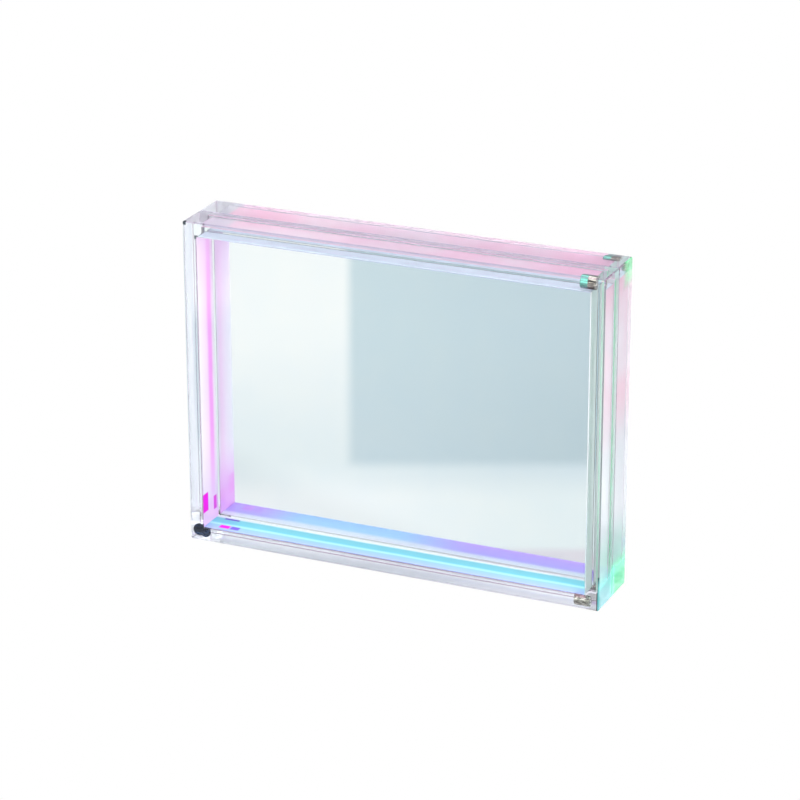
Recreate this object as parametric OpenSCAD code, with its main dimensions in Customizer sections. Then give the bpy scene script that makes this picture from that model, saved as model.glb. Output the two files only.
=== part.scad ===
// Clear acrylic photo frame in two halves that meet at a seam.
// The origin is under the middle of the frame, on the surface that it stands on.
// +X is to the right, +Y to the back and +Z up, and all sizes are in millimetres.

/* [Frame] */
// Overall width of the frame
frame_w = 150; // [100:1:300]
// Overall height of the frame
frame_h = 115; // [80:1:300]
// Depth of one half, from its outer face to the seam
half_d = 12.4; // [10:0.1:20]
// Thickness of the clear wall all round the opening
wall = 5; // [5:0.5:12]
// Flat polished cut along each outer edge of a half
edge_bevel = 0.4; // [0.2:0.1:0.7]
// Narrower cut along each outer edge at the seam
seam_bevel = 0.2; // [0.1:0.05:0.5]
// Flat polished cut round the mouth of the opening
mouth_bevel = 0.3; // [0.1:0.1:0.6]

/* [Panes] */
// Thickness of each clear pane
pane_t = 1; // [0.8:0.1:2]
// How far the seat of a pane is cut into the wall
seat_w = 1.5; // [1:0.1:2.5]
// Gap between the edge of a pane and its seat
pane_fit = 0.1; // [0.05:0.05:0.3]
// Space between the two halves, where a print lies
print_gap = 0.2; // [0.1:0.05:0.5]

/* [Film] */
// Thickness of the colour-shifting film on the inner faces
film_t = 0.1; // [0.05:0.05:0.2]

/* [Magnets] */
// Radius of each bright magnet, in the two corners on the right
magnet_r = 1.9; // [1.2:0.1:2]
// Length of each bright magnet
magnet_len = 5.6; // [4:0.2:7]
// How far a bright magnet reaches into the upright bar
magnet_reach = 1.7; // [1:0.1:3]
// Depth of the axis of a bright magnet behind the outer face of its half
magnet_depth = 2.3; // [2.3:0.1:5]
// Distance of the axis of a bright magnet from the nearest long edge of the frame
magnet_edge = 2.5; // [2.4:0.1:2.8]
// Gap all round a magnet in its bore
magnet_fit = 0.05; // [0.02:0.01:0.1]
// Bevel round each end of a magnet
magnet_bevel = 0.25; // [0.1:0.05:0.4]

/* [Discs] */
// Radius of the outer disc magnet, in the bottom left corner
outer_disc_r = 2.15; // [2.05:0.05:2.2]
// Radius of the inner disc magnet, which lies behind the outer one
inner_disc_r = 1.9; // [1.2:0.1:2.1]
// Thickness of each disc
disc_t = 1.5; // [1.2:0.1:1.8]
// Depth of the outer disc behind the outer face of its half
disc_depth = 0.6; // [0.6:0.1:1.5]
// Gap between the outer disc and the inner one
disc_gap = 0.5; // [0.4:0.1:1]
// How far the axis of the outer disc lies outside the joint
outer_disc_out = 2; // [1.5:0.05:2]
// How far the axis of the inner disc lies outside the joint
inner_disc_out = 0.2; // [0:0.1:1]
// Height of the axis of the outer disc
outer_disc_h = 3.6; // [2.6:0.1:4.5]
// Height of the axis of the inner disc
inner_disc_h = 2.5; // [2.4:0.1:2.7]

/* [Hidden] */

$fn = 48;

// Opening inside the four bars
opening_w = frame_w - 2 * wall;
opening_h = frame_h - 2 * wall;
mid_h = frame_h / 2;

// Places along the depth of the front half, which the back half mirrors
seam_y = -print_gap / 2;
face_y = seam_y - half_d;
half_mid_y = (seam_y + face_y) / 2;
pane_y = seam_y - pane_t;

// Plane where each rail butts against an upright
joint_x = opening_w / 2;

// Bore of a magnet, blind in the rail and in the upright
bore_r = magnet_r + magnet_fit;
bore_len = magnet_len + 2 * magnet_fit;
magnet_x = joint_x + magnet_reach - magnet_len / 2;
magnet_y = face_y + magnet_depth;

// Places of the two discs, in pockets that cross the joint
outer_disc_x = -joint_x - outer_disc_out;
inner_disc_x = -joint_x - inner_disc_out;
outer_disc_y = face_y + disc_depth + disc_t / 2;
inner_disc_y = outer_disc_y + disc_t + disc_gap;

// Film, between the mouth's bevel and the pane
film_front_y = face_y + mouth_bevel;
film_d = pane_y - film_front_y;
film_mid_y = film_front_y + film_d / 2;

// Overrun of every cut past the face that it opens
over = wall / 5;

clear_colour = [0.85, 0.91, 0.93, 0.55];
pane_colour = [0.80, 0.88, 0.90, 0.45];
film_colour = [0.90, 0.66, 0.90];
metal_colour = [0.72, 0.73, 0.75];
black_colour = [0.07, 0.09, 0.13];

// Rectangle about the origin, with its four corners cut at 45 degrees
module bevelled_rect(w, h, cut) {
    x = w / 2;
    y = h / 2;
    polygon([
        [cut - x, -y], [x - cut, -y], [x, cut - y], [x, y - cut],
        [x - cut, y], [cut - x, y], [-x, y - cut], [-x, cut - y]
    ]);
}

// Profile along the depth, with a bevel at the outer face on the left and a narrower one at the seam
module depth_profile(span) {
    x = half_d / 2;
    y = span / 2;
    polygon([
        [edge_bevel - x, -y], [x - seam_bevel, -y], [x, seam_bevel - y], [x, y - seam_bevel],
        [x - seam_bevel, y], [edge_bevel - x, y], [-x, y - edge_bevel], [-x, edge_bevel - y]
    ]);
}

// Solid block of one half, with a bevel along all its edges: plan, front and side profiles
module half_block() {
    translate([0, half_mid_y, mid_h])
        intersection() {
            linear_extrude(frame_h, center = true)
                rotate(90)
                    depth_profile(frame_w);
            rotate([90, 0, 0])
                linear_extrude(half_d, center = true)
                    bevelled_rect(frame_w, frame_h, edge_bevel);
            rotate([90, 0, 90])
                linear_extrude(frame_w, center = true)
                    depth_profile(frame_h);
        }
}

// Profile of the bevelled mouth across a span, with the depth along Y
module mouth_profile(span) {
    x = span / 2;
    polygon([
        [-x - mouth_bevel - over, -over], [x + mouth_bevel + over, -over],
        [x, mouth_bevel], [-x, mouth_bevel]
    ]);
}

// Mouth of the opening, mitred in its four corners
module mouth_cut() {
    translate([0, face_y, mid_h])
        intersection() {
            linear_extrude(frame_h, center = true)
                mouth_profile(opening_w);
            rotate([0, 90, 0])
                linear_extrude(frame_w, center = true)
                    mouth_profile(opening_h);
        }
}

// Box centred on the opening, from one depth to another
module centred_box(w, h, y_from, y_to) {
    translate([-w / 2, y_from, mid_h - h / 2])
        cube([w, y_to - y_from, h]);
}

// Bevelled ring of one half, with the seat of its pane on the seam side
module half_ring() {
    difference() {
        half_block();
        centred_box(opening_w, opening_h, face_y - over, seam_y + over);
        centred_box(opening_w + 2 * seat_w, opening_h + 2 * seat_w, pane_y, seam_y + over);
        mouth_cut();
    }
}

// Place of a bright magnet: level is -1 bottom or 1 top
module magnet_place(level) {
    translate([magnet_x, magnet_y, mid_h + level * (mid_h - magnet_edge)])
        rotate([0, 90, 0])
            children();
}

// Place of a disc magnet, with its axis along the depth
module disc_place(x, y, h) {
    translate([x, y, h])
        rotate([90, 0, 0])
            children();
}

// Pocket of a disc magnet, blind in the rail and in the upright
module disc_pocket(x, y, h, r) {
    disc_place(x, y, h)
        cylinder(h = disc_t + 2 * magnet_fit, r = r + magnet_fit, center = true);
}

// Room for the magnets of a half: none in the top left corner
module magnet_bores() {
    for (level = [-1, 1])
        magnet_place(level)
            cylinder(h = bore_len, r = bore_r, center = true);
    disc_pocket(outer_disc_x, outer_disc_y, outer_disc_h, outer_disc_r);
    disc_pocket(inner_disc_x, inner_disc_y, inner_disc_h, inner_disc_r);
}

// Horizontal bar between the two joints
module rail(level) {
    difference() {
        intersection() {
            half_ring();
            translate([0, half_mid_y, mid_h + level * (opening_h + wall) / 2])
                cube([opening_w, half_d, wall], center = true);
        }
        magnet_bores();
    }
}

// Vertical bar of the full height, outside a joint
module upright(side) {
    difference() {
        intersection() {
            half_ring();
            translate([side * (opening_w + wall) / 2, half_mid_y, mid_h])
                cube([wall, half_d, frame_h], center = true);
        }
        magnet_bores();
    }
}

// Film on the inner face of an upright, over the whole height of the opening
module upright_film(side) {
    translate([side * (joint_x - film_t / 2), film_mid_y, mid_h])
        cube([film_t, film_d, opening_h], center = true);
}

// Film on the inner face of a rail, between the films of the uprights
module rail_film(level) {
    translate([0, film_mid_y, mid_h + level * (opening_h - film_t) / 2])
        cube([opening_w - 2 * film_t, film_d, film_t], center = true);
}

// Clear sheet that fills the seat of a half
module pane() {
    gap = 2 * (seat_w - pane_fit);
    centred_box(opening_w + gap, opening_h + gap, pane_y, seam_y);
}

// Round magnet of any radius and length, with bevelled ends
module round_magnet(r, l) {
    x = l / 2;
    rotate_extrude()
        polygon([
            [0, -x], [r - magnet_bevel, -x], [r, magnet_bevel - x],
            [r, x - magnet_bevel], [r - magnet_bevel, x], [0, x]
        ]);
}

// Bright magnet, lying across the joint on the right
module magnet(level) {
    magnet_place(level)
        round_magnet(magnet_r, magnet_len);
}

// Outer one of the two disc magnets
module outer_disc() {
    disc_place(outer_disc_x, outer_disc_y, outer_disc_h)
        round_magnet(outer_disc_r, disc_t);
}

// Inner one of the two disc magnets
module inner_disc() {
    disc_place(inner_disc_x, inner_disc_y, inner_disc_h)
        round_magnet(inner_disc_r, disc_t);
}

// The back half is the front half seen in a mirror at the seam
module behind() {
    mirror([0, 1, 0])
        children();
}

// Bars of the front half
module front_top_rail() {
    color(clear_colour) rail(1);
}

module front_bottom_rail() {
    color(clear_colour) rail(-1);
}

module front_left_upright() {
    color(clear_colour) upright(-1);
}

module front_right_upright() {
    color(clear_colour) upright(1);
}

// Bars of the back half
module back_top_rail() {
    color(clear_colour) behind() rail(1);
}

module back_bottom_rail() {
    color(clear_colour) behind() rail(-1);
}

module back_left_upright() {
    color(clear_colour) behind() upright(-1);
}

module back_right_upright() {
    color(clear_colour) behind() upright(1);
}

// Film of the front half
module front_top_film() {
    color(film_colour) rail_film(1);
}

module front_bottom_film() {
    color(film_colour) rail_film(-1);
}

module front_left_film() {
    color(film_colour) upright_film(-1);
}

module front_right_film() {
    color(film_colour) upright_film(1);
}

// Film of the back half
module back_top_film() {
    color(film_colour) behind() rail_film(1);
}

module back_bottom_film() {
    color(film_colour) behind() rail_film(-1);
}

module back_left_film() {
    color(film_colour) behind() upright_film(-1);
}

module back_right_film() {
    color(film_colour) behind() upright_film(1);
}

// Panes
module front_pane() {
    color(pane_colour) pane();
}

module back_pane() {
    color(pane_colour) behind() pane();
}

// Magnets of the front half, with black discs
module front_top_right_magnet() {
    color(metal_colour) magnet(1);
}

module front_bottom_right_magnet() {
    color(metal_colour) magnet(-1);
}

module front_outer_disc() {
    color(black_colour) outer_disc();
}

module front_inner_disc() {
    color(black_colour) inner_disc();
}

// Magnets of the back half, all bright
module back_top_right_magnet() {
    color(metal_colour) behind() magnet(1);
}

module back_bottom_right_magnet() {
    color(metal_colour) behind() magnet(-1);
}

module back_outer_disc() {
    color(metal_colour) behind() outer_disc();
}

module back_inner_disc() {
    color(metal_colour) behind() inner_disc();
}

front_top_rail();
front_bottom_rail();
front_left_upright();
front_right_upright();
back_top_rail();
back_bottom_rail();
back_left_upright();
back_right_upright();
front_top_film();
front_bottom_film();
front_left_film();
front_right_film();
back_top_film();
back_bottom_film();
back_left_film();
back_right_film();
front_pane();
back_pane();
front_top_right_magnet();
front_bottom_right_magnet();
front_outer_disc();
front_inner_disc();
back_top_right_magnet();
back_bottom_right_magnet();
back_outer_disc();
back_inner_disc();
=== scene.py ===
"""Clear acrylic photo frame in two hollow halves, with colour-shifting film on the inner faces."""
import math

import bpy
from mathutils import Matrix, Vector


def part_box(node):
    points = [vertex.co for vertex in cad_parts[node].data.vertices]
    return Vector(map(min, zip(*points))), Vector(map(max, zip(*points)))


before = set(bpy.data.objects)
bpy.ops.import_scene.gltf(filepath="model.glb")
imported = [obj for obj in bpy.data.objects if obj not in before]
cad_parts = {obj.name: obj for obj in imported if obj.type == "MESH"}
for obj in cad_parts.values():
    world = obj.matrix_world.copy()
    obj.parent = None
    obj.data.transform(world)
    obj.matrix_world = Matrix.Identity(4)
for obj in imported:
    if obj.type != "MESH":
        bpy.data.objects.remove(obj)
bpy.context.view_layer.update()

MM = 0.001
HALVES = ("front", "back")
SIDES = ("top", "bottom", "left", "right")
BARS = {"top": "rail", "bottom": "rail", "left": "upright", "right": "upright"}
MAGNETS = ("top_right_magnet", "bottom_right_magnet")
DISCS = ("outer_disc", "inner_disc")
X, Y, Z = 0, 1, 2

# Places that the looks depend on, from the frame's own nodes: the joints of rails and uprights, the middle
# of the height, the inner faces of the rails, the ledges of the panes, the outer faces and the seam
rail_low, rail_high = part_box("front_top_rail")
pane_low, pane_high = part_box("front_pane")
upright_low, upright_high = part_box("front_right_upright")
magnet_low, magnet_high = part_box("front_top_right_magnet")
JOINT_X = rail_high.x
MID_Z = upright_high.z / 2
INNER_Z = rail_low.z - MID_Z
LEDGE_Y = abs(pane_low.y)
OUTER_Y = abs(upright_low.y)
SEAM_Y = abs(upright_high.y)
# The painted teal sheen of a top rod magnet ends half way along it
SHEEN_END_X = (magnet_low.x + magnet_high.x) / 2
# A face this near to a plane lies on it, and one whose normal lies this much along an axis is square to it
TOUCH = 0.02 * MM
SQUARE_ON = 0.9
# A place this near to a magnet is on the wall of its bore
BORE_MARGIN = 0.1 * MM
BORE_SOFT = 0.01 * MM

# Camera, fitted to the corners of the frame in the photograph
FOCAL_PX = 3227.03
AZIMUTH = 23.931
ELEVATION = 21.180
ROLL = -0.127
DISTANCE = 1096.205 * MM
OFF_RIGHT = -1.465 * MM
OFF_UP = 54.422 * MM
IMAGE_PX = 800
SENSOR_MM = 36


def rgb(r, g, b):
    """An sRGB colour of 0 to 255 as a linear one."""
    def linear(c):
        c /= 255
        return c / 12.92 if c <= 0.04045 else ((c + 0.055) / 1.055) ** 2.4
    return (linear(r), linear(g), linear(b), 1.0)


WHITE = (1, 1, 1, 1)
ACRYLIC_IOR = 1.49
# Tints of the bars and of the panes, which drift in clouds from the first colour to the second
BAR_TINTS = (rgb(253, 254, 255), rgb(251, 253, 254))
PANE_TINTS = (rgb(254, 254, 254), rgb(252, 253, 254))
# Painted shade on the polished edges that face up or to the right, as a darker tint of the glass
BEVEL_PAINTED_SHADE = rgb(220, 208, 219)
# Satin cut edges of the panes, each with a grain of two colours; the mint and the pink are painted light
# from the film
EDGE_PAINTED_MINT = (rgb(14, 190, 120), rgb(60, 220, 150))
EDGE_PALE = (rgb(126, 122, 130), rgb(146, 140, 150))
EDGE_PAINTED_PINK = (rgb(222, 160, 190), rgb(236, 178, 206))
# Scales of the noise, per metre
ACRYLIC_CLOUDS = 60.0
FILM_CLOUDS = 30.0
FILM_SWAY = 25.0
SATIN_GRAIN = 400.0
METAL_FLECKS = 1400.0

# Share of the light thrown back inside a clear piece that turns into haze: at the faces of a bar, at its
# seam face, and in a pane
BLOCK_HAZE = 0.28
SEAM_HAZE = 0.65
SHEET_HAZE = 0.9
# Layer Weight's Facing where light starts to be thrown back inside, and where all of it is
THROWN_BACK = (0.25, 0.32)
# Colours of the haze: in general, at the seam, and at the seam in the right-hand uprights
PALE_HAZE = rgb(240, 240, 246)
SEAM_GREY = rgb(188, 180, 194)
SEAM_MINT = rgb(196, 232, 220)

# Colours of the film seen through the acrylic: when it is faced, and at a shallow angle, where the colour
# is painted light that is darker on the top and right strips
FACED = {
    "top": rgb(255, 196, 222), "bottom": rgb(254, 200, 226),
    "left": rgb(254, 200, 226), "right": rgb(255, 194, 214),
}
GRAZED_PAINTED_LIGHT = {
    "top": rgb(204, 218, 230), "bottom": rgb(234, 236, 238),
    "left": rgb(246, 248, 250), "right": rgb(196, 208, 206),
}
# Paler colour that drifts over the faced film in clouds, and the noise where it starts and is full
CLOUD = rgb(244, 240, 246)
CLOUD_EDGE = (0.3, 0.9)
# Bands of colour on the bare side of the film, from the seam at 0 to the outer face at 1
CYAN_BANDS = [
    (0.0, rgb(240, 246, 250)), (0.15, rgb(222, 238, 242)), (0.23, rgb(130, 200, 214)),
    (0.50, rgb(126, 204, 220)), (0.60, rgb(180, 240, 250)), (0.68, rgb(156, 204, 242)),
    (1.0, rgb(178, 194, 242)),
]
BLUE_BANDS = [
    (0.0, rgb(246, 250, 253)), (0.25, rgb(238, 244, 251)), (0.50, rgb(176, 212, 250)),
    (1.0, rgb(156, 204, 253)),
]
PINK_BANDS = [
    (0.0, rgb(236, 240, 250)), (0.18, rgb(252, 246, 255)), (0.30, rgb(252, 172, 248)),
    (0.42, rgb(252, 172, 248)), (0.56, rgb(255, 228, 253)), (1.0, rgb(254, 250, 255)),
]
LILAC_BANDS = [
    (0.0, rgb(232, 238, 250)), (0.28, rgb(255, 230, 252)), (0.55, rgb(252, 242, 255)),
    (1.0, rgb(244, 248, 255)),
]
BANDS = {
    "front_top": CYAN_BANDS, "front_bottom": CYAN_BANDS,
    "front_left": PINK_BANDS, "front_right": PINK_BANDS,
    "back_top": BLUE_BANDS, "back_bottom": BLUE_BANDS,
    "back_left": LILAC_BANDS, "back_right": LILAC_BANDS,
}
BAND_SWAY = 0.12
# Layer Weight's Facing where the film starts to look slanted, and where it does so fully
SLANTED = (0.30, 0.55)
# Shares of mirror in the coat and of lit colour in the pearl, faced and slanted, and of pearl in the film
MIRROR_SHARE = (0.05, 0.55)
LIT_SHARE = (0.45, 0.7)
PEARL_SHARE = 0.6
MIRROR_ROUGHNESS = 0.05
# Where the bare side starts to pale towards the seam, and where it is all pale, as shares of the depth
PALE_NEAR_SEAM = {"back_bottom": (0.45, 0.215)}
PALE_SEAM = rgb(240, 244, 252)
MINT = rgb(192, 242, 224)
PALE_GREY = rgb(240, 240, 244)
# Further colours along a strip: the axis, where the change starts and ends, and the colour
DRIFTS = {
    "back_top": [(X, -65 * MM, -67 * MM, rgb(224, 222, 228))],
    "front_top": [(X, -59 * MM, -62 * MM, rgb(228, 222, 230))],
    "front_left": [
        (Z, 62 * MM, 140 * MM, rgb(244, 208, 247)), (Z, 44 * MM, 0 * MM, rgb(226, 214, 246)),
        (Z, 16 * MM, 6 * MM, rgb(246, 204, 250)),
    ],
    "back_left": [
        # From 103 to 109 mm the strip turns grey-blue: painted shade near its top
        (Z, 66 * MM, 130 * MM, rgb(236, 200, 242)), (Z, 103 * MM, 109 * MM, rgb(206, 210, 226)),
        (Z, 32 * MM, 10 * MM, rgb(246, 190, 255)),
    ],
    "front_right": [(Z, 74 * MM, 48 * MM, PALE_GREY), (Z, 30 * MM, 10 * MM, MINT)],
    "back_right": [(Z, 74 * MM, 48 * MM, PALE_GREY), (Z, 30 * MM, 10 * MM, MINT)],
    "back_bottom": [
        (X, -40 * MM, -60 * MM, rgb(200, 168, 252)), (X, -8 * MM, 24 * MM, rgb(196, 160, 252)),
    ],
}
# Short glints of strong colour near the bottom left corner: two opposite corners in mm, and the colour
GLINTS = {
    "front_left": [
        ((-71, -12.3, 10.2), (-69, -8.8, 16.6), rgb(240, 50, 222)),
        ((-71, -4.4, 8.8), (-69, -2.6, 13.4), rgb(230, 100, 220)),
    ],
    "front_bottom": [
        ((-65.0, -10.4, 4), (-61.6, -8.4, 6), rgb(236, 60, 216)),
        ((-60.8, -10.4, 4), (-58.0, -8.4, 6), rgb(132, 112, 228)),
        ((-66.2, -3.4, 4), (-61.0, -2.6, 6), rgb(112, 104, 190)),
    ],
}
GLINT_REACH_MM = 0.4

# Painted cool light from the film on the right-hand faces: two opposite corners in mm, and the colour
PAINTED_COOL_LIGHT = [
    ((74, -13, -9), (76, -1, 8), rgb(112, 206, 208)),
    ((74, 2, -9), (76, 13, 9), rgb(108, 244, 178)),
    ((74, 8, 110), (76, 13, 124), rgb(120, 224, 160)),
]
PAINTED_COOL_LIGHT_SHARE = 0.42
PAINTED_COOL_LIGHT_REACH_MM = 5
# Painted shade at spots on the polished edges, at the top left corners and low on the front right edge: two
# opposite corners and the soft reach round them, in mm
PAINTED_SHADE_SPOTS = [
    ((-75.2, -12.7, 114.0), (-73.9, -11.9, 115.2), 0.4),
    ((-70.5, -12.6, 109.5), (-69.5, -12.1, 110.4), 0.3),
    ((74.4, -12.7, -0.5), (75.2, -12.0, 6.5), 0.3),
    ((74.6, -12.7, 6.5), (75.2, -12.2, 12.0), 0.2),
]
# Darker tint of the glass at these spots, which paints the shade
PAINTED_SHADE_TINT = rgb(92, 100, 104)

# Metals of the magnets: dark and bright flecks, and the scale of the flecks along X. On the front discs the
# near-black is painted dark reflection, and on the top rods the strong dark and bright streaks are painted
# reflection bands
METALS = {
    "magnet_reflection_banded": (rgb(40, 34, 28), rgb(176, 172, 162), 0.15),
    "magnet_flecked": (rgb(104, 104, 96), rgb(160, 160, 152), 0.4),
    "magnet_painted_dark": (rgb(10, 18, 36), rgb(56, 74, 106), 0.15),
    "magnet_pale": (rgb(176, 174, 172), rgb(240, 240, 238), 0.15),
}
# Painted teal light on the left end of the top rods
PAINTED_TEAL_SHEEN = rgb(96, 158, 146)
# The noise where a dark fleck turns bright, and the noise and the roughness between dull and polished
FLECK_EDGE = (0.42, 0.58)
POLISH = (0.3, 0.7, 0.12, 0.3)

# Staging. The floor and the room are white to the eye, and these colours are what the clear pieces show.
FLOOR_HALF = 3.0
FLOOR_DROP = 0.2 * MM
GLARE = (1.28, 1.28, 1.24, 1)
DIM_GLARE = (0.80, 0.84, 0.80, 1)
NEAR_GLARE = (1.3, 1.28, 1.3, 1)
# Painted shadow on the floor under the frame
PAINTED_SHADOW_UNDER_FRAME = rgb(216, 214, 222)
# From left to right
HIGH_SHADE = (rgb(192, 216, 221), rgb(179, 204, 212))
LOW_SHADE = (rgb(187, 210, 217), rgb(168, 194, 201))
NEAR_TABLE = (rgb(246, 252, 252), rgb(226, 239, 239))
FAR_TABLE = (rgb(229, 241, 242), rgb(206, 224, 229))
ROOM_WALLS = (rgb(220, 214, 222), rgb(212, 208, 216))
# From near to far
BRIGHT_WALL = (rgb(224, 237, 238), rgb(246, 252, 249))
# Soft changes on the floor away from the camera, from where to where in metres
NEAR_EDGE = (-0.03, -0.006)
# Where the painted shadow under the frame ends
FRAME_SHADOW_EDGE = (0.006, 0.014)
TABLE_DARKENS = (0.05, 0.085)
TABLE_ENDS = (0.079, 0.094)
SHADE_RISES = (0.08, 0.25)
GLARE_DIMS = (0.12, 0.30)
# Soft changes on the floor from left to right. The end of the bright wall leans a little with the depth, so
# that it stands upright in the picture.
TABLE_ACROSS = (-0.05, 0.06)
SHADE_ACROSS = (-0.03, 0.10)
WINDOW_SIDE = (0.095, 0.13)
WALL_ENDS = (-0.0214, -0.0153)
WALL_LEAN = 0.0142
# The room by direction: its walls, the bright part behind the camera, the lit sides and the lamp above
ROOM_ACROSS = (-0.4, 0.5)
ROOM_FRONT = rgb(254, 254, 255)
FRONT_EDGE = (-0.2, 0.4)
SIDE_LIGHT = (1.7, 1.66, 1.7, 1)
SIDE_EDGE = (0.45, 0.85)
LAMP_LIGHT = (3.8, 3.78, 3.8, 1)
LAMP_EDGE = (0.5, 0.65)
LAMP_TILT = math.radians(30)
LAMP_LEAN = 0.5
BOUNCES = 32
GLOSSY_BOUNCES = 16


class Nodes:
    """A few short ways to build a node tree."""

    def __init__(self, tree):
        self.tree = tree

    def add(self, kind, **settings):
        node = self.tree.nodes.new(kind)
        for name, value in settings.items():
            setattr(node, name, value)
        return node

    def feed(self, socket, value):
        if isinstance(value, bpy.types.NodeSocket):
            self.tree.links.new(value, socket)
        else:
            socket.default_value = value

    def feed_all(self, node, *values):
        for socket, value in zip(node.inputs, values):
            self.feed(socket, value)
        return node.outputs

    def math(self, operation, *values):
        return self.feed_all(self.add("ShaderNodeMath", operation=operation), *values)[0]

    def vector(self, operation, *values):
        node = self.add("ShaderNodeVectorMath", operation=operation)
        return self.feed_all(node, *values)["Vector"]

    def dot(self, a, b):
        node = self.add("ShaderNodeVectorMath", operation="DOT_PRODUCT")
        return self.feed_all(node, a, b)["Value"]

    def split(self, vector):
        return self.feed_all(self.add("ShaderNodeSeparateXYZ"), vector)

    def ramp(self, value, low, high, to_low=0.0, to_high=1.0):
        node = self.add("ShaderNodeMapRange", interpolation_type="SMOOTHSTEP")
        return self.feed_all(node, value, low, high, to_low, to_high)["Result"]

    def mix_colour(self, share, a, b):
        node = self.add("ShaderNodeMix", data_type="RGBA")
        for socket, value in zip((node.inputs[0], node.inputs[6], node.inputs[7]), (share, a, b)):
            self.feed(socket, value)
        return node.outputs[2]

    def mix_shader(self, share, a, b):
        return self.feed_all(self.add("ShaderNodeMixShader"), share, a, b)[0]

    def noise(self, vector, scale):
        node = self.add("ShaderNodeTexNoise")
        self.feed(node.inputs["Vector"], vector)
        self.feed(node.inputs["Scale"], scale)
        return node.outputs["Fac"]

    def shader(self, kind, **inputs):
        node = self.add(kind)
        for name, value in inputs.items():
            self.feed(node.inputs[name.replace("_", " ")], value)
        return node.outputs[0]

    def glass(self, colour):
        return self.shader("ShaderNodeBsdfGlass", Color=colour, Roughness=0.0, IOR=ACRYLIC_IOR)

    def facing(self, edges):
        """0 where the surface is faced, and 1 at a shallow angle."""
        return self.ramp(self.add("ShaderNodeLayerWeight").outputs["Facing"], *edges)


def new_material(name):
    mat = bpy.data.materials.new(name)
    mat.use_nodes = True
    mat.node_tree.nodes.clear()
    nodes = Nodes(mat.node_tree)
    return mat, nodes, nodes.add("ShaderNodeOutputMaterial").inputs["Surface"]


def own_frame(nodes):
    """Place and normal in the piece's own frame, which moves with it, and 1 for a face seen from inside."""
    geometry = nodes.add("ShaderNodeNewGeometry")
    turn = nodes.add("ShaderNodeVectorTransform", vector_type="NORMAL",
                     convert_from="WORLD", convert_to="OBJECT")
    nodes.feed(turn.inputs[0], geometry.outputs["True Normal"])
    point = nodes.add("ShaderNodeTexCoord").outputs["Object"]
    return point, turn.outputs[0], geometry.outputs["Backfacing"]


def on_plane(nodes, value, level, normal):
    """1 where a face lies on the two planes at this level either side of the middle."""
    off = nodes.math("ABSOLUTE", nodes.math("SUBTRACT", nodes.math("ABSOLUTE", value), level))
    near = nodes.math("LESS_THAN", off, TOUCH)
    faces = nodes.math("GREATER_THAN", nodes.math("ABSOLUTE", normal), SQUARE_ON)
    return nodes.math("MULTIPLY", near, faces)


def bonded_faces(nodes, point, normal, with_ledge):
    """1 on the faces where one clear piece is bonded to the next, which can't be seen."""
    point = nodes.split(point)
    normal = nodes.split(normal)
    height = nodes.math("SUBTRACT", point[Z], MID_Z)
    joints = on_plane(nodes, point[X], JOINT_X, normal[X])
    backs = on_plane(nodes, height, INNER_Z, normal[Z])
    bonded = nodes.math("MAXIMUM", joints, backs)
    if with_ledge:
        ledge = on_plane(nodes, point[Y], LEDGE_Y, normal[Y])
        wide = nodes.math("GREATER_THAN", nodes.math("ABSOLUTE", point[X]), JOINT_X)
        high = nodes.math("GREATER_THAN", nodes.math("ABSOLUTE", height), INNER_Z)
        ledge = nodes.math("MULTIPLY", ledge, nodes.math("MAXIMUM", wide, high))
        bonded = nodes.math("MAXIMUM", bonded, ledge)
    return bonded


def clear_where(nodes, unseen, surface):
    """The surface, with nothing to see where unseen is 1."""
    through = nodes.shader("ShaderNodeBsdfTransparent", Color=WHITE)
    return nodes.mix_shader(unseen, surface, through)


def in_box(nodes, point, low, high, soft):
    """1 inside the box from low to high, and 0 further than soft outside it."""
    off = nodes.vector("ABSOLUTE", nodes.vector("SUBTRACT", point, tuple((low + high) / 2)))
    reach = nodes.split(nodes.vector("SUBTRACT", off, tuple((high - low) / 2)))
    beyond = nodes.math("MAXIMUM", nodes.math("MAXIMUM", reach[X], reach[Y]), reach[Z])
    return nodes.ramp(beyond, soft, 0.0)


def in_box_mm(nodes, point, low, high, soft):
    """in_box for corners and a soft reach in mm."""
    return in_box(nodes, point, Vector(low) * MM, Vector(high) * MM, soft * MM)


def bore_walls(nodes, point):
    """1 on the walls of the bores, which fit the magnets so closely that they can't be seen."""
    # Both halves have the same bores, so the front is folded onto the back
    fold = nodes.vector("MULTIPLY", nodes.vector("ABSOLUTE", point), (0, 1, 0))
    folded = nodes.vector("ADD", nodes.vector("MULTIPLY", point, (1, 0, 1)), fold)
    margin = Vector((BORE_MARGIN, BORE_MARGIN, BORE_MARGIN))
    found = 0.0
    for name in MAGNETS + DISCS:
        low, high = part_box(f"back_{name}")
        inside = in_box(nodes, folded, low - margin, high + margin, BORE_SOFT)
        found = nodes.math("MAXIMUM", inside, found)
    return found


def hazed(nodes, inside, clear, amount, colour):
    """Haze where light is thrown back inside a clear piece, in place of its many turns there."""
    trapped = nodes.math("MULTIPLY", nodes.facing(THROWN_BACK), inside)
    haze = nodes.shader("ShaderNodeBsdfTranslucent", Color=colour)
    return nodes.mix_shader(nodes.math("MULTIPLY", trapped, amount), clear, haze)


def shaded_bevels(nodes, normal):
    """1 on the polished edges that face up or to the right, which get painted shade as they catch less
    light.
    """
    turned = nodes.split(nodes.vector("ABSOLUTE", normal))
    most = nodes.math("MAXIMUM", nodes.math("MAXIMUM", turned[X], turned[Y]), turned[Z])
    aslant = nodes.math("LESS_THAN", most, SQUARE_ON)
    up_or_right = nodes.math("GREATER_THAN", nodes.dot(normal, (1, 0, 1)), 0.3)
    return nodes.math("MULTIPLY", aslant, up_or_right)


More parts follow.
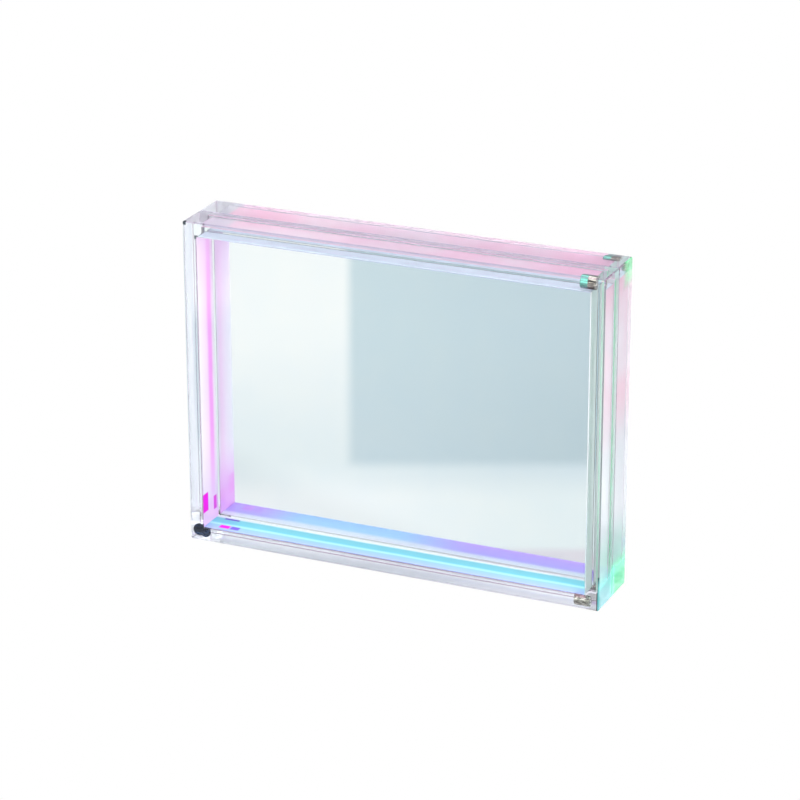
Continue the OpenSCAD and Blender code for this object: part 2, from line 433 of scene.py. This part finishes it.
def bar_tint(nodes, point, normal):
    """Faint clouds, with painted shade on the polished edges that face up or right and at a few spots."""
    tint = nodes.mix_colour(nodes.noise(point, ACRYLIC_CLOUDS), *BAR_TINTS)
    tint = nodes.mix_colour(shaded_bevels(nodes, normal), tint, BEVEL_PAINTED_SHADE)
    for low, high, soft in PAINTED_SHADE_SPOTS:
        tint = nodes.mix_colour(in_box_mm(nodes, point, low, high, soft), tint, PAINTED_SHADE_TINT)
    return tint


def bar_haze(nodes, point, normal):
    """Amount and colour of the haze in a bar, which are others at the seam."""
    place = nodes.split(point)
    seam = on_plane(nodes, place[Y], SEAM_Y, nodes.split(normal)[Y])
    amount = nodes.ramp(seam, 0.0, 1.0, BLOCK_HAZE, SEAM_HAZE)
    on_right = nodes.math("GREATER_THAN", place[X], JOINT_X)
    seam_colour = nodes.mix_colour(on_right, SEAM_GREY, SEAM_MINT)
    return amount, nodes.mix_colour(seam, PALE_HAZE, seam_colour)


def with_painted_cool_light(nodes, point, normal, inside, glass):
    """The glass with painted cool light from the film on the outside of the right-hand faces."""
    right_face = nodes.math("GREATER_THAN", nodes.split(normal)[X], 0.5)
    outside = nodes.math("MAXIMUM", nodes.math("SUBTRACT", right_face, inside), 0.0)
    for low, high, colour in PAINTED_COOL_LIGHT:
        share = in_box_mm(nodes, point, low, high, PAINTED_COOL_LIGHT_REACH_MM)
        share = nodes.math("MULTIPLY", share, outside)
        cool_light = nodes.shader("ShaderNodeBsdfDiffuse", Color=colour)
        glass = nodes.mix_shader(nodes.math("MULTIPLY", share, PAINTED_COOL_LIGHT_SHARE), glass, cool_light)
    return glass


def acrylic(name):
    """Clear polished acrylic of the bars, unbroken where pieces are bonded."""
    mat, nodes, surface = new_material(name)
    point, normal, inside = own_frame(nodes)
    clear = nodes.glass(bar_tint(nodes, point, normal))
    amount, colour = bar_haze(nodes, point, normal)
    glass = with_painted_cool_light(nodes, point, normal, inside, hazed(nodes, inside, clear, amount, colour))
    bonded = bonded_faces(nodes, point, normal, True)
    unseen = nodes.math("MAXIMUM", bonded, bore_walls(nodes, point))
    nodes.feed(surface, clear_where(nodes, unseen, glass))
    return mat


def satin_edge(nodes, point, faced):
    """Cut edges of a pane, with painted mint light from the film on the right, painted pink light on top,
    and pale on the others.
    """
    place = nodes.split(point)
    grain = nodes.noise(point, SATIN_GRAIN)
    right = nodes.math("MULTIPLY", nodes.math("GREATER_THAN", place[X], 0.0), faced[X])
    top = nodes.math("MULTIPLY", nodes.math("GREATER_THAN", place[Z], MID_Z), faced[Z])
    mint, pale, pink = (nodes.mix_colour(grain, *pair) for pair in (EDGE_PAINTED_MINT, EDGE_PALE, EDGE_PAINTED_PINK))
    edge = nodes.mix_colour(top, nodes.mix_colour(right, pale, mint), pink)
    lit = nodes.shader("ShaderNodeBsdfDiffuse", Color=edge)
    glow = nodes.shader("ShaderNodeBsdfTranslucent", Color=edge)
    return nodes.mix_shader(0.5, lit, glow)


def pane_acrylic(name):
    """Thin clear sheet with satin cut edges."""
    mat, nodes, surface = new_material(name)
    point, normal, inside = own_frame(nodes)
    faced = nodes.split(nodes.vector("ABSOLUTE", normal))
    clear = nodes.glass(nodes.mix_colour(nodes.noise(point, ACRYLIC_CLOUDS), *PANE_TINTS))
    glass = hazed(nodes, inside, clear, SHEET_HAZE, PALE_HAZE)
    faces = nodes.math("GREATER_THAN", faced[Y], 0.5)
    sheet = nodes.mix_shader(faces, satin_edge(nodes, point, faced), glass)
    nodes.feed(surface, clear_where(nodes, bonded_faces(nodes, point, normal, True), sheet))
    return mat


def depth_share(nodes, point):
    """0 at the seam and 1 at the outer face."""
    return nodes.math("DIVIDE", nodes.math("ABSOLUTE", nodes.split(point)[Y]), OUTER_Y)


def depth_bands(nodes, point, stops):
    """Bands of colour along the depth, with a slight sway."""
    sway = nodes.math("SUBTRACT", nodes.noise(point, FILM_SWAY), 0.5)
    sway = nodes.math("MULTIPLY", sway, BAND_SWAY)
    ramp = nodes.add("ShaderNodeValToRGB")
    stripes = ramp.color_ramp.elements
    stripes[0].position, stripes[0].color = stops[0]
    stripes[1].position, stripes[1].color = stops[-1]
    for position, colour in stops[1:-1]:
        stripes.new(position).color = colour
    nodes.feed(ramp.inputs["Fac"], nodes.math("ADD", depth_share(nodes, point), sway))
    return ramp.outputs["Color"]


def drifted(nodes, point, strip, colour):
    """The colour with the strip's further colours along it."""
    for axis, start, stop, drift in DRIFTS.get(strip, ()):
        share = nodes.ramp(nodes.split(point)[axis], start, stop)
        colour = nodes.mix_colour(share, colour, drift)
    return colour


def bare_colour(nodes, point, strip):
    """Bands of colour with drifts, a pale stretch at the seam and glints."""
    colour = drifted(nodes, point, strip, depth_bands(nodes, point, BANDS[strip]))
    if strip in PALE_NEAR_SEAM:
        pale = nodes.ramp(depth_share(nodes, point), *PALE_NEAR_SEAM[strip])
        colour = nodes.mix_colour(pale, colour, PALE_SEAM)
    for low, high, glint in GLINTS.get(strip, ()):
        share = in_box_mm(nodes, point, low, high, GLINT_REACH_MM)
        colour = nodes.mix_colour(share, colour, glint)
    return colour


def bonded_colour(nodes, point, strip, side, slant):
    """Clouded colour with drifts when faced, and painted pale light at a shallow angle."""
    clouds = nodes.ramp(nodes.noise(point, FILM_CLOUDS), *CLOUD_EDGE)
    faced = drifted(nodes, point, strip, nodes.mix_colour(clouds, FACED[side], CLOUD))
    return nodes.mix_colour(slant, faced, GRAZED_PAINTED_LIGHT[side])


def film(strip, side):
    """Pearly film with bands of colour on its bare side, pink when faced through the acrylic."""
    mat, nodes, surface = new_material(f"film_{strip}")
    point, normal, inside = own_frame(nodes)
    slant = nodes.facing(SLANTED)
    bonded_side = bonded_colour(nodes, point, strip, side, slant)
    colour = nodes.mix_colour(inside, bare_colour(nodes, point, strip), bonded_side)
    mirror = nodes.shader("ShaderNodeBsdfGlossy", Color=colour, Roughness=MIRROR_ROUGHNESS)
    coat = nodes.mix_shader(nodes.ramp(slant, 0.0, 1.0, *MIRROR_SHARE), nodes.glass(colour), mirror)
    lit = nodes.shader("ShaderNodeBsdfDiffuse", Color=colour)
    glow = nodes.shader("ShaderNodeBsdfTranslucent", Color=colour)
    pearl = nodes.mix_shader(nodes.ramp(slant, 0.0, 1.0, *LIT_SHARE), glow, lit)
    pearly = nodes.mix_shader(PEARL_SHARE, coat, pearl)
    nodes.feed(surface, clear_where(nodes, bonded_faces(nodes, point, normal, False), pearly))
    return mat


def magnet_metal(name):
    """Plated metal with fine flecks drawn out along X, and a painted teal sheen at the left end of the top
    rods; on the top rods the flecks are strong painted reflection bands, and on the front discs the metal
    is painted dark reflection.
    """
    mat, nodes, surface = new_material(name)
    dark, bright, along = METALS[name]
    point = nodes.add("ShaderNodeTexCoord").outputs["Object"]
    place = nodes.split(point)
    stretch = nodes.add("ShaderNodeMapping")
    nodes.feed(stretch.inputs["Vector"], point)
    nodes.feed(stretch.inputs["Scale"], (along, 1.0, 1.0))
    grain = nodes.noise(stretch.outputs[0], METAL_FLECKS)
    colour = nodes.mix_colour(nodes.ramp(grain, *FLECK_EDGE), dark, bright)
    high = nodes.math("GREATER_THAN", place[Z], MID_Z)
    left_end = nodes.ramp(place[X], SHEEN_END_X, SHEEN_END_X - 0.3 * MM)
    colour = nodes.mix_colour(nodes.math("MULTIPLY", left_end, high), colour, PAINTED_TEAL_SHEEN)
    rough = nodes.ramp(grain, *POLISH)
    metal = nodes.shader("ShaderNodeBsdfPrincipled", Base_Color=colour, Metallic=1.0, Roughness=rough)
    nodes.feed(surface, metal)
    return mat


def dress(node, mat):
    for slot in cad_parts[node].material_slots:
        slot.material = mat


def dress_all():
    clear = acrylic("clear_acrylic")
    pane = pane_acrylic("clear_pane")
    # Front discs: painted dark reflection; top rods: painted reflection bands
    painted_dark, pale = magnet_metal("magnet_painted_dark"), magnet_metal("magnet_pale")
    reflection_banded, flecked = magnet_metal("magnet_reflection_banded"), magnet_metal("magnet_flecked")
    rod_metal = {"top_right_magnet": reflection_banded, "bottom_right_magnet": flecked}
    disc_metal = {"front": painted_dark, "back": pale}
    for half in HALVES:
        for side in SIDES:
            strip = f"{half}_{side}"
            dress(f"{strip}_{BARS[side]}", clear)
            dress(f"{strip}_film", film(strip, side))
        for magnet in MAGNETS:
            dress(f"{half}_{magnet}", rod_metal[magnet])
        for disc in DISCS:
            dress(f"{half}_{disc}", disc_metal[half])
        dress(f"{half}_pane", pane)


def view_axes():
    """Right, up and backward directions of the camera."""
    a, e, r = (math.radians(v) for v in (AZIMUTH, ELEVATION, ROLL))
    back = Vector((math.sin(a) * math.cos(e), -math.cos(a) * math.cos(e), math.sin(e)))
    level_right = (-back).cross(Vector((0, 0, 1))).normalized()
    level_up = level_right.cross(-back)
    right = math.cos(r) * level_right + math.sin(r) * level_up
    up = -math.sin(r) * level_right + math.cos(r) * level_up
    return right, up, back


def add_camera():
    right, up, back = view_axes()
    camera = bpy.data.cameras.new("camera")
    camera.sensor_width = SENSOR_MM
    camera.lens = FOCAL_PX / IMAGE_PX * SENSOR_MM
    camera.clip_start = 0.01
    eye = bpy.data.objects.new("camera", camera)
    bpy.context.scene.collection.objects.link(eye)
    spot = back * DISTANCE + right * OFF_RIGHT + up * OFF_UP
    eye.matrix_world = Matrix.Translation(spot) @ Matrix((right, up, back)).transposed().to_4x4()
    bpy.context.scene.camera = eye


def floor_sheet():
    """A square sheet just under the frame."""
    half = FLOOR_HALF
    mesh = bpy.data.meshes.new("floor")
    corners = [(-half, -half, 0), (half, -half, 0), (half, half, 0), (-half, half, 0)]
    mesh.from_pydata(corners, [], [(0, 1, 2, 3)])
    floor = bpy.data.objects.new("floor", mesh)
    floor.location.z = -FLOOR_DROP
    bpy.context.scene.collection.objects.link(floor)
    return floor


def backdrop(nodes, deep, across):
    """Bright wall on the left and blue-grey shade on the right, with an upright soft edge between them."""
    far = nodes.ramp(deep, *SHADE_RISES)
    rightward = nodes.ramp(across, *SHADE_ACROSS)
    high_shade = nodes.mix_colour(rightward, *HIGH_SHADE)
    low_shade = nodes.mix_colour(rightward, *LOW_SHADE)
    shade = nodes.mix_colour(far, low_shade, high_shade)
    bright = nodes.mix_colour(far, *BRIGHT_WALL)
    edge = nodes.math("ADD", across, nodes.math("MULTIPLY", deep, WALL_LEAN))
    return nodes.mix_colour(nodes.ramp(edge, *WALL_ENDS), bright, shade)


def table(nodes, deep, across):
    """Pale table, a little darker to the right and towards the backdrop."""
    rightward = nodes.ramp(across, *TABLE_ACROSS)
    near_table = nodes.mix_colour(rightward, *NEAR_TABLE)
    far_table = nodes.mix_colour(rightward, *FAR_TABLE)
    return nodes.mix_colour(nodes.ramp(deep, *TABLE_DARKENS), near_table, far_table)


def floor_through_glass(nodes):
    """Table and backdrop behind the frame, with glare beside and before them, and a painted shadow under
    the frame.
    """
    a = math.radians(AZIMUTH)
    point = nodes.add("ShaderNodeNewGeometry").outputs["Position"]
    deep = nodes.dot(point, (-math.sin(a), math.cos(a), 0))
    across = nodes.dot(point, (math.cos(a), math.sin(a), 0))
    behind = nodes.ramp(deep, *TABLE_ENDS)
    seen = nodes.mix_colour(behind, table(nodes, deep, across), backdrop(nodes, deep, across))
    glare = nodes.mix_colour(nodes.ramp(deep, *GLARE_DIMS), GLARE, DIM_GLARE)
    beside = nodes.ramp(nodes.math("ABSOLUTE", across), *WINDOW_SIDE)
    seen = nodes.mix_colour(beside, seen, glare)
    seen = nodes.mix_colour(nodes.ramp(deep, *FRAME_SHADOW_EDGE), PAINTED_SHADOW_UNDER_FRAME, seen)
    return nodes.mix_colour(nodes.ramp(deep, *NEAR_EDGE), NEAR_GLARE, seen)


def add_floor():
    """Floor, white to the eye, that glows with painted light which the clear pieces show as a pale table
    before the backdrop.
    """
    floor = floor_sheet()
    mat, nodes, surface = new_material("floor_pale")
    glow = nodes.shader("ShaderNodeEmission", Color=floor_through_glass(nodes), Strength=1.0)
    white = nodes.shader("ShaderNodeEmission", Color=WHITE, Strength=1.0)
    to_eye = nodes.add("ShaderNodeLightPath").outputs["Is Camera Ray"]
    nodes.feed(surface, nodes.mix_shader(to_eye, glow, white))
    floor.data.materials.append(mat)


def room_through_glass(nodes):
    """Pale walls, brighter behind the camera, at the sides and at a wide lamp above."""
    direction = nodes.add("ShaderNodeTexCoord").outputs["Generated"]
    back = view_axes()[2]
    a = math.radians(AZIMUTH)
    across = nodes.dot(direction, (math.cos(a), math.sin(a), 0))
    walls = nodes.mix_colour(nodes.ramp(across, *ROOM_ACROSS), *ROOM_WALLS)
    front = nodes.ramp(nodes.dot(direction, tuple(back)), *FRONT_EDGE)
    room = nodes.mix_colour(front, walls, ROOM_FRONT)
    sides = nodes.ramp(nodes.math("ABSOLUTE", across), *SIDE_EDGE)
    room = nodes.mix_colour(sides, room, SIDE_LIGHT)
    lamp = (LAMP_LEAN * math.sin(a), -LAMP_LEAN * math.cos(a), math.cos(LAMP_TILT))
    high = nodes.ramp(nodes.dot(direction, lamp), *LAMP_EDGE)
    return nodes.mix_colour(high, room, LAMP_LIGHT)


def add_studio():
    """Soft light from all round, white to the eye."""
    world = bpy.data.worlds.new("studio")
    bpy.context.scene.world = world
    world.use_nodes = True
    world.node_tree.nodes.clear()
    nodes = Nodes(world.node_tree)
    out = nodes.add("ShaderNodeOutputWorld")
    to_eye = nodes.add("ShaderNodeLightPath").outputs["Is Camera Ray"]
    seen = nodes.mix_colour(to_eye, room_through_glass(nodes), WHITE)
    nodes.feed(out.inputs["Surface"], nodes.shader("ShaderNodeBackground", Color=seen, Strength=1.0))


def set_light_paths():
    """Enough bounces for light to pass through all the clear pieces."""
    scene = bpy.context.scene
    scene.view_settings.view_transform = "Standard"
    scene.cycles.max_bounces = BOUNCES
    scene.cycles.transmission_bounces = BOUNCES
    scene.cycles.glossy_bounces = GLOSSY_BOUNCES
    scene.cycles.transparent_max_bounces = BOUNCES


add_camera()
dress_all()
add_floor()
add_studio()
set_light_paths()
